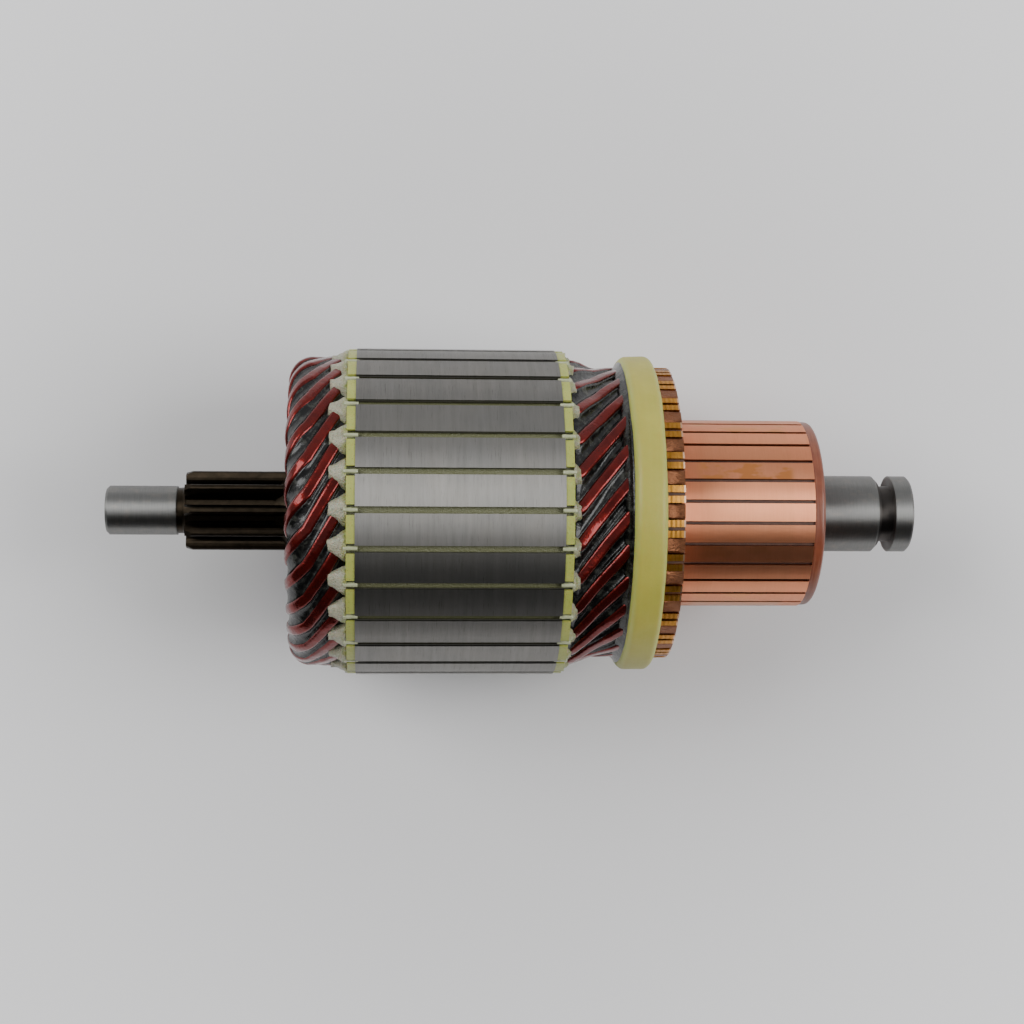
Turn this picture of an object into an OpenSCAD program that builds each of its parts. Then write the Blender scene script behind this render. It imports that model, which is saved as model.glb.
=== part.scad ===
// Armature of a geared starter motor: a six-pole wave winding of rectangular hairpin bars in a
// slotted steel core, with a moulded commutator and a shaft that carries the sun gear.
// The shaft lies along X, with the commutator on the +X side. The origin is on the shaft axis,
// midway along the drive-end journal.

/* [Core] */
// Outside diameter of the laminated core
core_d = 60; // [56:0.5:72]
// Length of the lamination stack
core_len = 36; // [28:0.5:60]
// Number of slots, and of commutator bars
slots = 28; // [25:3:28]
// Width of a slot below its mouth
slot_w = 2.8; // [2.8:0.05:3.2]
// Width of the mouth of a slot
mouth_w = 1.2; // [0.8:0.1:2]
// Thickness of the tooth tips beside a mouth
tip_t = 1.1; // [0.9:0.1:1.6]
// Rise of the sloping shoulders inside the mouth
tip_slope = 0.4; // [0.2:0.1:0.6]

/* [Insulation] */
// Thickness of the fibre ring at each end of the core
end_ring_t = 1.5; // [1:0.1:3]
// How far the rim of an end ring lies below the core surface
end_ring_drop = 0.15; // [0:0.05:0.5]
// Width of the slot mouths in an end ring
end_mouth_w = 1.8; // [1.2:0.1:2.4]
// Thickness of the slot paper
paper_t = 0.25; // [0.15:0.01:0.28]
// How far the slot paper stands out of each end ring
paper_out = 0.2; // [0.1:0.1:0.6]

/* [Winding] */
// Width of a conductor bar, measured round the core
bar_w = 2.1; // [1.6:0.05:2.1]
// Height of a conductor bar, measured along the radius
bar_h = 3.6; // [2.6:0.1:4]
// Gap left between neighbouring faces that slide together at assembly
fit_gap = 0.05; // [0.03:0.01:0.08]
// Reach of the hairpin noses beyond the core face
nose_reach = 12.2; // [11:0.1:18]
// Centre-line radius of the bend at a nose
nose_bend_r = 1.8; // [1.5:0.1:2.2]
// Length round the core over which a nose drops from the outer to the inner layer
nose_drop_len = 2.8; // [2.6:0.1:3.2]
// Centre-line radius of the bends where the bars leave the slots
leg_bend_r = 1.6; // [1.2:0.1:2]
// How far the winding dips below its slot radius beside the nose-side end ring
nose_side_dip = 0.15; // [0:0.05:1]
// How much further both layers lean inwards at the noses
nose_lean = 1; // [0:0.1:2]
// Width of a bar end, where it is upset to fill its riser slot
bar_end_w = 2.9; // [2.2:0.1:3]
// Number of pole pairs of the wave winding
pole_pairs = 3; // [3:1:3]

/* [Commutator] */
// Free length between the core face and the risers
riser_gap = 17.9; // [16:0.1:26]
// Diameter over the risers
riser_d = 54; // [52:0.5:60]
// Axial thickness of the risers
riser_w = 3.1; // [2.5:0.1:5]
// Diameter of the brush track
track_d = 34.6; // [31:0.1:38]
// Length of the brush track
track_len = 25; // [18:0.5:36]
// Height and width of the unworn shoulder between the track and the risers
shoulder_rise = 0.12; // [0.05:0.01:0.3]
shoulder_w = 1.2; // [0.5:0.1:2]
// Width of the slits between the bars
slit_w = 0.65; // [0.5:0.05:0.8]
// Depth of the undercut above the mica
undercut = 0.6; // [0.3:0.1:1.2]
// Depth to which a bar reaches below the brush track
bar_depth = 5.9; // [4.5:0.1:6.5]
// Thickness of the moulded collar at the free end of the commutator
collar_t = 2; // [1.5:0.1:4]
// How far the collar lies below the brush track
collar_drop = 0.2; // [0.1:0.1:1]
// Edge radius of the collar
collar_edge_r = 0.8; // [0.3:0.1:1.4]
// How far the moulding stands out behind the risers
hub_out = 1.5; // [1:0.1:3]

/* [Banding] */
// Width of the banding ring over the winding, next to the risers
band_w = 6; // [4:0.5:9]
// Thickness of the banding ring
band_t = 2.25; // [1.5:0.05:3]
// Edge radius of the banding ring
band_edge_r = 1.1; // [0.4:0.1:1.4]

/* [Shaft] */
// Diameter and length of the drive-end journal
pilot_d = 9; // [7:0.1:10]
pilot_len = 12.8; // [8:0.1:20]
// Chamfer at the end of the drive-end journal
pilot_chamfer = 0.5; // [0.2:0.1:1]
// Diameter and length of the neck behind the journal
neck_d = 8.4; // [6.5:0.1:9]
neck_len = 1.7; // [1:0.1:4]
// Number of teeth and module of the sun gear
gear_teeth = 10; // [9:1:12]
gear_module = 1.25; // [1.15:0.05:1.3]
// Length of the sun gear
gear_len = 20; // [12:0.5:30]
// Length and height of the chamfer on the tooth ends
tooth_chamfer_len = 1.4; // [0.5:0.1:2.5]
tooth_chamfer_h = 0.45; // [0.2:0.05:1]
// Length of the plain shaft between the gear and the core
plain_len = 11; // [6:0.5:20]
// Diameter of the core seat
seat_d = 17; // [16:0.5:19]
// Diameter of the commutator seat
hub_seat_d = 16.4; // [15.5:0.1:17]
// Diameter and length of the commutator-end journal
journal_d = 14.2; // [12:0.1:15]
journal_len = 13; // [9:0.1:24]
// Chamfer where the journal meets the groove
journal_chamfer = 0.9; // [0.3:0.1:1.2]
// Width and floor diameter of the retaining-ring groove
groove_w = 2.5; // [1.5:0.1:4]
groove_d = 10.4; // [9:0.1:11.5]
// Length of the disc outside the groove
disc_len = 3.4; // [2:0.1:6]
// Chamfer at the end of the disc
disc_chamfer = 0.4; // [0.2:0.1:1]
// Mouth diameter of the lathe centres in both shaft ends
centre_d = 3; // [2:0.1:4]

/* [Hidden] */
$fn = 96;
// One hairpin for each slot, numbered round the core
function hairpin_name(number) = str("hairpin_", number < 10 ? "0" : "", number);
// How far a cutter runs past the surface that it cuts
cut_over = 1;

// Stations along the shaft
pilot_end_x = pilot_len / 2;
gear_x = pilot_end_x + neck_len;
plain_x = gear_x + gear_len;
core_x = plain_x + plain_len;
core_end_x = core_x + core_len;
riser_x = core_end_x + riser_gap;
track_x = riser_x + riser_w;
track_end_x = track_x + track_len;
collar_end_x = track_end_x + collar_t;
journal_end_x = collar_end_x + journal_len;
disc_x = journal_end_x + groove_w;
shaft_end_x = disc_x + disc_len;
hub_x = riser_x - hub_out;
band_x = riser_x - band_w;

// Radii of the slot and of what lies in it, from the mouth inwards
pitch = 360 / slots;
core_r = core_d / 2;
slot_top_r = core_r - tip_t;
lining = paper_t + 2 * fit_gap;
outer_bar_top_r = slot_top_r - lining;
outer_bar_r = outer_bar_top_r - bar_h / 2;
layer_step = bar_h + lining;
inner_bar_r = outer_bar_r - layer_step;
slot_bottom_r = inner_bar_r - bar_h / 2 - lining;
paper_top_r = slot_top_r - fit_gap;
paper_bottom_r = slot_bottom_r + fit_gap;
paper_w = slot_w - 2 * fit_gap;

// Wave winding: the steps at the nose end and at the commutator end, in slots
commutator_step = (slots - 1) / pole_pairs;
nose_step = round(slots / (2 * pole_pairs));
half_nose_step = nose_step / 2;
leg_step = (commutator_step - nose_step) / 2;
// The bars stand in line with the legs that reach them
bar_phase = leg_step * pitch;

// Radii of the winding outside the core
nose_layer_gap = 0.85;
riser_layer_gap = 0.3;
bar_end_drop = 0.1;
nose_outer_r = outer_bar_r - nose_side_dip;
nose_inner_r = nose_outer_r - bar_h - nose_layer_gap;
nose_mean_r = (nose_outer_r + nose_inner_r) / 2;
riser_r = riser_d / 2;
riser_outer_r = riser_r - bar_end_drop - bar_h / 2;
riser_inner_r = riser_outer_r - bar_h - riser_layer_gap;
riser_slot_r = riser_inner_r - bar_h / 2 - fit_gap;
riser_slot_w = bar_end_w + 2 * fit_gap;

// Stations of the bends, and how far under the band the legs finish their slant
band_lead = 0.2;
exit_len = end_ring_t + paper_out;
exit_x = core_x - exit_len;
nose_tip_x = core_x - nose_reach + bar_w / 2;
dip_len = 5.5;
upset_len = 1.6;

// Commutator radii
track_r = track_d / 2;
bar_root_r = track_r - bar_depth;
hook_h = 1.2;
hook_in = 2;
hook_neck_r = bar_root_r + 2.5 * hook_h;
hook_lip_r = hook_neck_r + hook_h;

// Sun gear radii
gear_pitch_r = gear_module * gear_teeth / 2;
gear_tip_r = gear_pitch_r + gear_module;
gear_root_r = gear_pitch_r - 1.25 * gear_module;
pressure_angle = 20;
gear_base_r = gear_pitch_r * cos(pressure_angle);
fillet_h = 0.25 * gear_module;
root_spread = 2.5;
fillet_spread = 0.4;
tip_round = 0.12;
tip_share = 0.7;
flank_steps = 4;

// ---------------------------------------------------------------- helpers

// Turn a profile of [radius, x] points round the shaft axis
module turned(profile) {
    rotate([0, 90, 0])
        rotate_extrude()
            polygon(profile);
}

// Extrude a section that is drawn with its radius along 2D +Y, from x along the shaft
module along_shaft(x, length) {
    translate([x, 0, 0])
        rotate([90, 0, 90])
            linear_extrude(height = length)
                children();
}

// Copy a section once for each slot
module each_slot(phase = 0) {
    for (i = [0 : slots - 1])
        rotate(phase + i * pitch)
            children();
}

// A rectangle standing on the radius from r0 to r1
module radial_rect(w, r0, r1) {
    translate([-w / 2, r0])
        square([w, r1 - r0]);
}

function ease(t) = t <= 0 ? 0 : t >= 1 ? 1 : t * t * (3 - 2 * t);
function mix(a, b, t) = a + (b - a) * t;
function unit(v) = v / norm(v);

// ---------------------------------------------------------------- shaft

// Involute function in degrees, and half the angle that a tooth spans at radius r
function involute(a) = tan(a) * 180 / PI - a;
function tooth_half_angle(r) =
    90 / gear_teeth + involute(pressure_angle) - involute(acos(min(1, gear_base_r / r)));

// One side of a tooth from root to tip, as [radius, angle from the tooth centre]
flank_tip_r = gear_tip_r - tip_round;
flank = concat(
    [[gear_root_r, tooth_half_angle(gear_base_r) + root_spread]],
    [[gear_root_r + fillet_h, tooth_half_angle(gear_base_r) + fillet_spread]],
    [for (i = [0 : flank_steps])
        let (r = mix(gear_base_r, flank_tip_r, i / flank_steps))
        [r, tooth_half_angle(r)]],
    [[gear_tip_r, tooth_half_angle(gear_tip_r) * tip_share]]
);
tooth = concat(
    [for (p = flank) [p[0], -p[1]]],
    [for (i = [len(flank) - 1 : -1 : 0]) flank[i]]
);

module gear_section() {
    polygon([
        for (k = [0 : gear_teeth - 1])
            for (p = tooth)
                let (a = 90 - p[1] - k * 360 / gear_teeth)
                p[0] * [cos(a), sin(a)]
    ]);
}

module sun_gear() {
    intersection() {
        along_shaft(gear_x, gear_len)
            gear_section();
        turned([
            [0, gear_x],
            [gear_tip_r - tooth_chamfer_h, gear_x],
            [gear_tip_r + fit_gap, gear_x + tooth_chamfer_len],
            [gear_tip_r + fit_gap, plain_x],
            [0, plain_x]
        ]);
    }
}

// Cone that a lathe centre leaves in a shaft end, as its depth
centre_depth = centre_d / 2 / tan(30);

module shaft() {
    seat_r = seat_d / 2;
    hub_seat_r = hub_seat_d / 2;
    journal_r = journal_d / 2;
    pilot_r = pilot_d / 2;
    neck_r = neck_d / 2;
    neck_flare = 0.6;
    gear_core_r = gear_root_r - 0.2;
    runout = seat_r - gear_core_r;
    color("silver") {
        turned([
            [0, -pilot_end_x + centre_depth],
            [centre_d / 2, -pilot_end_x],
            [pilot_r - pilot_chamfer, -pilot_end_x],
            [pilot_r, -pilot_end_x + pilot_chamfer],
            [pilot_r, pilot_end_x],
            [neck_r, pilot_end_x],
            [neck_r, gear_x - neck_flare],
            [neck_r + neck_flare, gear_x],
            [gear_core_r, gear_x + neck_flare],
            [gear_core_r, plain_x - runout],
            [seat_r, plain_x],
            [seat_r, hub_x],
            [hub_seat_r, hub_x],
            [hub_seat_r, collar_end_x],
            [journal_r, collar_end_x],
            [journal_r, journal_end_x - journal_chamfer],
            [journal_r - journal_chamfer, journal_end_x],
            [groove_d / 2, journal_end_x],
            [groove_d / 2, disc_x],
            [journal_r, disc_x],
            [journal_r, shaft_end_x - disc_chamfer],
            [journal_r - disc_chamfer, shaft_end_x],
            [centre_d / 2, shaft_end_x],
            [0, shaft_end_x - centre_depth]
        ]);
        sun_gear();
    }
}

// ---------------------------------------------------------------- core and its insulation

// Outline of one slot, open through the rim
module slot_outline(mouth, top_r, slope) {
    polygon([
        [-slot_w / 2, slot_bottom_r],
        [slot_w / 2, slot_bottom_r],
        [slot_w / 2, top_r],
        [mouth / 2, top_r + slope],
        [mouth / 2, core_r + cut_over],
        [-mouth / 2, core_r + cut_over],
        [-mouth / 2, top_r + slope],
        [-slot_w / 2, top_r]
    ]);
}

// A slotted ring on the core seat, as wide as rim_r
module slotted_ring(rim_r, mouth) {
    difference() {
        circle(r = rim_r);
        circle(d = seat_d);
        each_slot()
            slot_outline(mouth, slot_top_r, tip_slope);
    }
}

module core_stack() {
    color("lightgray")
        along_shaft(core_x, core_len)
            slotted_ring(core_r, mouth_w);
}

module end_ring(x) {
    color("yellowgreen")
        along_shaft(x, end_ring_t)
            slotted_ring(core_r - end_ring_drop, end_mouth_w);
}

module drive_end_ring() {
    end_ring(core_x - end_ring_t);
}

module commutator_end_ring() {
    end_ring(core_end_x);
}

// One slot paper, folded in an S: it wraps the outer bar, crosses between the two bars and
// wraps the inner bar. Its two edges stop short of the crossing strip.
module paper_section() {
    wall_x = paper_w / 2 - paper_t;
    cross_r = outer_bar_r - bar_h / 2 - fit_gap - paper_t;
    edge_gap = 0.4;
    // outer fold, crossing strip and inner fold
    radial_rect(paper_w, paper_top_r - paper_t, paper_top_r);
    radial_rect(paper_w, cross_r, cross_r + paper_t);
    radial_rect(paper_w, paper_bottom_r, paper_bottom_r + paper_t);
    // full walls, one on each side
    translate([-paper_w / 2, cross_r])
        square([paper_t, paper_top_r - cross_r]);
    translate([wall_x, paper_bottom_r])
        square([paper_t, cross_r + paper_t - paper_bottom_r]);
    // the two free edges
    translate([wall_x, cross_r + paper_t + edge_gap])
        square([paper_t, paper_top_r - cross_r - paper_t - edge_gap]);
    translate([-paper_w / 2, paper_bottom_r])
        square([paper_t, cross_r - edge_gap - paper_bottom_r]);
}

module slot_papers() {
    color("cornsilk")
        along_shaft(core_x - exit_len, core_len + 2 * exit_len)
            each_slot()
                paper_section();
}

// ---------------------------------------------------------------- hairpin winding

// A hairpin is drawn on the unrolled cylinder as [x, arc length] points, which are then rolled up.
// The corner at b, between a and c, is rounded with radius r in n steps.
function rounded_corner(a, b, c, r, n) =
    let (
        u = unit(a - b),
        v = unit(c - b),
        half = acos(u * v) / 2,
        centre = b + unit(u + v) * r / sin(half),
        start = b + u * r / tan(half) - centre,
        turn = (180 - 2 * half) * sign(u[0] * v[1] - u[1] * v[0]) * -1
    )
    [for (i = [0 : n])
        let (t = turn * i / n)
        centre + [start[0] * cos(t) - start[1] * sin(t), start[0] * sin(t) + start[1] * cos(t)]];

// Points strictly between a and b, n - 1 of them
function between(a, b, n) = [for (i = [1 : n - 1]) mix(a, b, i / n)];

// Length from the start of a bend of radius r to its corner, where it turns from the axis to a
// slope of rise / run
function tangent_len(r, run, rise) =
    r * tan(atan2(rise, run) / 2);

// Arc length on the unrolled cylinder of a number of slot pitches, at radius r
function arc_len(r, steps) = r * steps * pitch * PI / 180;

// Commutator side of a leg, from the riser end to the slot, as [x, angle] pairs.
// step is the number of pitches from slot to riser.
function riser_leg(step, r) =
    let (
        away = arc_len(r, step),
        slant_len = riser_gap - band_w - exit_len,
        slot_bend_x = core_end_x + exit_len + tangent_len(leg_bend_r, slant_len, abs(away)),
        riser_bend_x = band_x + band_lead,
        p0 = [track_x, away],
        p1 = [riser_bend_x, away],
        p2 = [slot_bend_x, 0],
        p3 = [core_x, 0],
        top = rounded_corner(p0, p1, p2, leg_bend_r, 3),
        foot = rounded_corner(p1, p2, p3, leg_bend_r, 3)
    )
    concat(
        [p0, [riser_x - upset_len / 4, away], [riser_x - upset_len, away]],
        top,
        between(top[3], foot[0], 3),
        foot
    );

// Outer half of the nose side of a hairpin, from the slot to the top of the nose, where the arc
// length is half the step of the winding
function nose_half_path(half) =
    let (
        bend_x = exit_x - tangent_len(leg_bend_r, nose_reach - exit_len, half),
        slant = atan2(half, bend_x - nose_tip_x),
        apex_x = nose_tip_x - nose_bend_r * (1 / sin(slant) - 1),
        q0 = [core_end_x, 0],
        q1 = [bend_x, 0],
        q2 = [apex_x, -half],
        q3 = [bend_x, -2 * half],
        foot = rounded_corner(q0, q1, q2, leg_bend_r, 3),
        nose = rounded_corner(q1, q2, q3, nose_bend_r, 6),
        drop = mix(q2, q1, nose_drop_len / 2 / half)
    )
    concat(
        foot,
        between(foot[3], drop, 4),
        [drop, mix(drop, nose[0], 0.5)],
        [for (i = [0 : 3]) nose[i]]
    );

// The whole nose side: the second half mirrors the first
function nose_path(half) =
    let (path = nose_half_path(half))
    concat(path, [for (i = [len(path) - 2 : -1 : 0]) [path[i][0], -2 * half - path[i][1]]]);

// Radius of one layer of the winding at station x
function layer_r(x, slot_r, nose_r, riser_r) =
    x > core_x
        ? mix(slot_r, riser_r, ease((x - core_end_x - exit_len) / dip_len))
        : mix(slot_r, nose_r, ease((exit_x - x) / dip_len))
            - nose_lean * pow(max(0, (exit_x - x) / (exit_x - nose_tip_x)), 4);

// Radius of the middle of a bar at station x and at an angle from its outer slot. The outer layer
// drops to the inner one round the middle of the nose.
function bar_r(x, angle) =
    let (
        past_nose = -angle * nose_mean_r * PI / 180 - arc_len(nose_mean_r, half_nose_step),
        drop = ease(past_nose / nose_drop_len + 0.5)
    )
    mix(
        layer_r(x, outer_bar_r, nose_outer_r, riser_outer_r),
        layer_r(x, inner_bar_r, nose_inner_r, riser_inner_r),
        drop
    );

// Width of the bar, which is upset at its riser end
function bar_w_at(x) =
    mix(bar_w, bar_end_w, ease((x - riser_x + upset_len) / (0.75 * upset_len)));

// The whole centre line as [x, angle from the outer slot]
function hairpin_line() =
    let (
        outer = riser_leg(leg_step, riser_outer_r),
        inner = riser_leg(-leg_step, riser_inner_r),
        nose = nose_path(arc_len(nose_mean_r, half_nose_step))
    )
    concat(
        [for (p = outer) [p[0], p[1] / riser_outer_r * 180 / PI]],
        [for (p = nose) [p[0], p[1] / nose_mean_r * 180 / PI]],
        [for (i = [len(inner) - 1 : -1 : 0])
            [inner[i][0], inner[i][1] / riser_inner_r * 180 / PI - nose_step * pitch]]
    );

// The four edges of the bar beside point i of its line. The bar follows the winding surface: each
// edge is set off sideways, square to the radius, and takes the radius of the surface below it.
function bar_edges(line, i) =
    let (
        x = line[i][0],
        angle = line[i][1],
        arc_per_deg = bar_r(x, angle) * PI / 180,
        unrolled = [1, arc_per_deg],
        before = line[max(0, i - 1)],
        after = line[min(len(line) - 1, i + 1)],
        back = norm(line[i] - before) > 0
            ? unit([for (k = [0, 1]) (line[i] - before)[k] * unrolled[k]]) : [0, 0],
        ahead = norm(after - line[i]) > 0
            ? unit([for (k = [0, 1]) (after - line[i])[k] * unrolled[k]]) : [0, 0],
        heading = unit(back + ahead)
    )
    [for (edge = [[1, 1], [-1, 1], [-1, -1], [1, -1]])
        let (
            side = edge[0] * bar_w_at(x) / 2 * [-heading[1], heading[0]],
            edge_x = x + side[0],
            r = bar_r(edge_x, angle + side[1] / arc_per_deg) + edge[1] * bar_h / 2
        )
        [
            edge_x,
            r * sin(angle) + side[1] * cos(angle),
            r * cos(angle) - side[1] * sin(angle)
        ]];

// A rectangular bar rolled up along its line
module rolled_bar(line) {
    last = len(line) - 1;
    edges = [for (i = [0 : last]) each bar_edges(line, i)];
    sides = [for (i = [0 : last - 1])
        for (k = [0 : 3])
            let (a = 4 * i + k, b = 4 * i + (k + 1) % 4)
            each [[a, b, b + 4], [a, b + 4, a + 4]]];
    polyhedron(edges, concat(
        [[3, 2, 1, 0]],
        sides,
        [[4 * last, 4 * last + 1, 4 * last + 2, 4 * last + 3]]
    ));
}

module hairpin(number) {
    color("firebrick")
        rotate([-(number - 1) * pitch, 0, 0])
            rolled_bar(hairpin_line());
}

// ---------------------------------------------------------------- commutator

// The dovetail under a bar, which the moulding grips, as [radius, x] from the free end inwards
dovetail = [
    [hook_lip_r, track_end_x],
    [hook_neck_r, track_end_x - 2 * hook_in],
    [bar_root_r + hook_h, track_end_x - hook_in],
    [bar_root_r, track_end_x - hook_in],
    [bar_root_r, riser_x + hook_in],
    [bar_root_r + hook_h, riser_x + hook_in],
    [hook_neck_r, riser_x + 2 * hook_in],
    [hook_lip_r, riser_x]
];

// Section of a bar: riser, unworn shoulder, brush track and dovetail
bar_profile = concat([
    [riser_r, riser_x],
    [riser_r, track_x],
    [track_r + shoulder_rise, track_x],
    [track_r + shoulder_rise, track_x + shoulder_w],
    [track_r, track_x + shoulder_w + shoulder_rise],
    [track_r, track_end_x]
], dovetail);

// Section of a mica strip: it stops below the surface of the bars
mica_profile = concat([
    [riser_r - undercut, riser_x],
    [riser_r - undercut, track_x],
    [track_r - undercut, track_x],
    [track_r - undercut, track_end_x]
], dovetail);

module commutator_bars() {
    color("peru")
        difference() {
            turned(bar_profile);
            along_shaft(riser_x - cut_over, track_end_x - riser_x + 2 * cut_over)
                each_slot(bar_phase + pitch / 2)
                    radial_rect(slit_w, bar_root_r - cut_over, riser_r + cut_over);
            along_shaft(riser_x - cut_over, riser_w + cut_over)
                each_slot(bar_phase)
                    radial_rect(riser_slot_w, riser_slot_r, riser_r + cut_over);
        }
}

module mica_strips() {
    color("dimgray")
        for (i = [0 : slots - 1])
            rotate([bar_phase + (i + 0.5) * pitch, 0, 0])
                translate([0, slit_w / 2, 0])
                    rotate([90, 0, 0])
                        linear_extrude(height = slit_w)
                            polygon([for (p = mica_profile) [p[1], p[0]]]);
}

module commutator_moulding() {
    collar_r = track_r - collar_drop;
    color("saddlebrown")
        rotate([0, 90, 0])
            rotate_extrude() {
                polygon(concat(
                    [[hub_seat_d / 2, hub_x], [hook_lip_r, hub_x]],
                    [for (i = [len(dovetail) - 1 : -1 : 0]) dovetail[i]],
                    [
                        [collar_r, track_end_x],
                        [collar_r, collar_end_x - collar_edge_r],
                        [collar_r - collar_edge_r, collar_end_x - collar_edge_r],
                        [collar_r - collar_edge_r, collar_end_x],
                        [hub_seat_d / 2, collar_end_x]
                    ]
                ));
                translate([collar_r - collar_edge_r, collar_end_x - collar_edge_r])
                    circle(r = collar_edge_r, $fn = 48);
            }
}

// ---------------------------------------------------------------- banding

module banding_ring() {
    inner_r = riser_outer_r + bar_h / 2 + fit_gap;
    outer_r = inner_r + band_t;
    color("darkkhaki")
        rotate([0, 90, 0])
            rotate_extrude() {
                translate([inner_r, band_x])
                    square([band_t - band_edge_r, band_w]);
                translate([inner_r, band_x + band_edge_r])
                    square([band_t, band_w - 2 * band_edge_r]);
                for (x = [band_x + band_edge_r, riser_x - band_edge_r])
                    translate([outer_r - band_edge_r, x])
                        circle(r = band_edge_r, $fn = 48);
            }
}

// ---------------------------------------------------------------- assembly

shaft();
core_stack();
drive_end_ring();
commutator_end_ring();
slot_papers();
for (number = [1 : slots])
    hairpin(number);
commutator_bars();
mica_strips();
commutator_moulding();
banding_ring();
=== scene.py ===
"""The looks of a starter motor's armature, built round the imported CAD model.

The shaft lies along X, with the commutator on the +X side. Everything is in metres, in the frame of
the CAD model, and angles round the shaft are counted from +Z towards +Y.
"""
import math

import bpy
from mathutils import Matrix, Vector, noise


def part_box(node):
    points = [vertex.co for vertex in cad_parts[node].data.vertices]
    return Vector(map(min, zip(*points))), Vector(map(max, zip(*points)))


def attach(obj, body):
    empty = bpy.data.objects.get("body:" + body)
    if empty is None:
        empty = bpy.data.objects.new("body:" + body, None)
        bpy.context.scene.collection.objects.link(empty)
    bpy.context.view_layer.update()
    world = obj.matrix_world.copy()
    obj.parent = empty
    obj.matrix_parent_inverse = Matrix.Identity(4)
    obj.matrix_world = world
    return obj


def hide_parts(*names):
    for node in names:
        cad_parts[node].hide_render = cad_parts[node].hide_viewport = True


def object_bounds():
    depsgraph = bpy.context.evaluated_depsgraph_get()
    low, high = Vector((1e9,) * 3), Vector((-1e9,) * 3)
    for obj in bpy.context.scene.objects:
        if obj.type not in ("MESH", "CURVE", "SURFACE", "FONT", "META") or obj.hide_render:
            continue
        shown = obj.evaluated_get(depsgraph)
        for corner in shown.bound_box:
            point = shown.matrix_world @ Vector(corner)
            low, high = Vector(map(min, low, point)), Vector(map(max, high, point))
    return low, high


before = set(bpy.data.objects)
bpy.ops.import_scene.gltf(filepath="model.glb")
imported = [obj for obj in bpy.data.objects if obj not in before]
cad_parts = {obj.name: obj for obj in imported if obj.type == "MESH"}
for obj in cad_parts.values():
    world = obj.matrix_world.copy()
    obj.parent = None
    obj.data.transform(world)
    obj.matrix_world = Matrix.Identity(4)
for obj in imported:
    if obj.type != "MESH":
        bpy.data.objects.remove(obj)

MM = 0.001
CAD_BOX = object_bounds()

# ---------------------------------------------------------------- sizes

# The winding, as the CAD model has it
SLOTS = 28
PITCH = math.tau / SLOTS
BAR_W = 2.1 * MM
BAR_H = 3.6 * MM
BAR_END_W = 2.9 * MM
BAR_EDGE_R = 0.62 * MM
TOOTH_TIP = 1.1 * MM
SLOT_LINING = 0.35 * MM
PAPER_OUT = 0.2 * MM
NOSE_STEP = 5
LEG_STEP = 2
LEG_BEND_R = 1.6 * MM
NOSE_SIDE_DIP = 0.15 * MM
UPSET_LEN = 1.6 * MM
BAND_LEAD = 0.2 * MM
DIP_LEN = 5.5 * MM


def radius_of(node, low=-1.0, high=1.0):
    """Largest radius of a CAD node between two stations along the shaft."""
    points = [v.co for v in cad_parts[node].data.vertices if low <= v.co.x <= high]
    return max(math.hypot(p.y, p.z) for p in points)


CORE_X0, CORE_X1 = (corner[0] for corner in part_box("core_stack"))
CORE_R = radius_of("core_stack")
RING_X0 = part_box("drive_end_ring")[0][0]
RING_X1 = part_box("commutator_end_ring")[1][0]
RING_R = radius_of("drive_end_ring")
NOSE_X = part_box("hairpin_01")[0][0]
RISER_X0, TRACK_X1 = (corner[0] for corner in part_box("commutator_bars"))
RISER_X1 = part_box("hairpin_01")[1][0]
RISER_R = radius_of("commutator_bars")
TRACK_R = radius_of("commutator_bars", TRACK_X1 - 0.1 * MM, TRACK_X1 + 0.1 * MM)
BAND_X0, BAND_X1 = (corner[0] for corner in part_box("banding_ring"))
BAND_R = radius_of("banding_ring")
COLLAR_X1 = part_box("commutator_moulding")[1][0]
SHAFT_X0, SHAFT_X1 = (corner[0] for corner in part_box("shaft"))

EXIT_LEN = CORE_X0 - RING_X0 + PAPER_OUT
BAR_TOP_R = CORE_R - TOOTH_TIP - SLOT_LINING
OUTER_R = BAR_TOP_R - BAR_H / 2
INNER_R = OUTER_R - BAR_H - SLOT_LINING
RISER_OUTER_R = RISER_R - 0.1 * MM - BAR_H / 2
RISER_INNER_R = RISER_OUTER_R - BAR_H - 0.3 * MM


# ---------------------------------------------------------------- small helpers

def ease(t):
    t = min(1.0, max(0.0, t))
    return t * t * (3 - 2 * t)


def mix(a, b, t):
    return a + (b - a) * t


def place(x, r, angle):
    """Point at station x, radius r and an angle from +Z towards +Y."""
    return Vector((x, r * math.sin(angle), r * math.cos(angle)))


def new_mesh(name, points, faces, material, smooth=True):
    """A closed piece of the object from points and faces."""
    mesh = bpy.data.meshes.new(name)
    mesh.from_pydata([tuple(p) for p in points], [], faces)
    mesh.validate()
    mesh.update()
    if smooth:
        mesh.polygons.foreach_set("use_smooth", [True] * len(mesh.polygons))
    mesh.materials.append(material)
    piece = bpy.data.objects.new(name, mesh)
    bpy.context.scene.collection.objects.link(piece)
    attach(piece, "root")
    return piece


def sweep(rings, closed=False):
    """Points and faces of a tube through rings of equally many points, capped at its ends."""
    count = len(rings[0])
    points = [p for ring in rings for p in ring]
    steps = len(rings) if closed else len(rings) - 1
    faces = []
    for i in range(steps):
        a, b = i * count, (i + 1) % len(rings) * count
        for k in range(count):
            m = (k + 1) % count
            faces.append((a + k, a + m, b + m, b + k))
    if not closed:
        faces.append(tuple(range(count - 1, -1, -1)))
        faces.append(tuple(range(len(points) - count, len(points))))
    return points, faces


# ---------------------------------------------------------------- materials

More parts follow.
